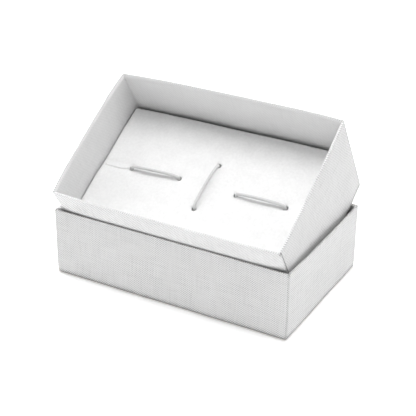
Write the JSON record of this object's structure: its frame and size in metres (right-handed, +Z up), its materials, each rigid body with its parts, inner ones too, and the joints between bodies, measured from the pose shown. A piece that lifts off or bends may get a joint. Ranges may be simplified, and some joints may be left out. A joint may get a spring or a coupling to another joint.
{
  "type": "jewelry gift box",
  "caption": "Two-piece rigid gift box wrapped in linen-embossed paper, its tray leaning in the upturned lid with a flocked pad and elastic loops.",
  "frame": {"origin": "centre of the lid's underside, which stands on the surface", "axes": "+X along the box's long side, -Y towards the front, +Z up"},
  "size_m": [0.09, 0.0655, 0.0616],
  "materials": {
    "linen_paper": "white paper with an embossed linen weave",
    "greyboard": "raw grey chipboard",
    "gummed_tape": "matt gummed paper tape",
    "lining_paper": "plain white uncoated paper",
    "white_card": "plain white folding card",
    "foam": "open-cell polyurethane foam",
    "flock": "short white flocked fibre",
    "elastic_cord": "white braided cover over a rubber core",
    "barb_steel": "plain bent steel"
  },
  "bodies": {
    "lid": {"lid_board": "greyboard", "lid_corner_stay_front_left": "gummed_tape", "lid_corner_stay_front_right": "gummed_tape", "lid_corner_stay_back_left": "gummed_tape", "lid_corner_stay_back_right": "gummed_tape", "lid_wrap": "linen_paper", "lid_lining": "lining_paper"},
    "tray": {"tray_board": "greyboard", "tray_corner_stay_front_left": "gummed_tape", "tray_corner_stay_front_right": "gummed_tape", "tray_corner_stay_back_left": "gummed_tape", "tray_corner_stay_back_right": "gummed_tape", "tray_wrap": "linen_paper"},
    "insert": {"insert_platform": "white_card", "insert_foam": "foam", "insert_flock": "flock"},
    "loop_left": {"elastic_left": "elastic_cord", "barb_left_a": "barb_steel", "barb_left_b": "barb_steel"},
    "loop_middle": {"elastic_middle": "elastic_cord", "barb_middle_a": "barb_steel", "barb_middle_b": "barb_steel"},
    "loop_right": {"elastic_right": "elastic_cord", "barb_right_a": "barb_steel", "barb_right_b": "barb_steel"}
  },
  "joints": [
    {"name": "tray_lift", "type": "slide", "parent": "lid", "child": "tray", "axis": [0, 0, 1], "range_m": [0, 0.03]},
    {"name": "insert_lift", "type": "slide", "parent": "tray", "child": "insert", "axis": [0, -0.5299, 0.848], "range_m": [0, 0.04]},
    {"name": "loop_left_pull", "type": "slide", "parent": "insert", "child": "loop_left", "axis": [0, -0.5299, 0.848], "range_m": [0, 0.002], "stiffness_N_per_m": 60},
    {"name": "loop_middle_pull", "type": "slide", "parent": "insert", "child": "loop_middle", "axis": [0, -0.5299, 0.848], "range_m": [0, 0.002], "stiffness_N_per_m": 60},
    {"name": "loop_right_pull", "type": "slide", "parent": "insert", "child": "loop_right", "axis": [0, -0.5299, 0.848], "range_m": [0, 0.002], "stiffness_N_per_m": 60}
  ]
}
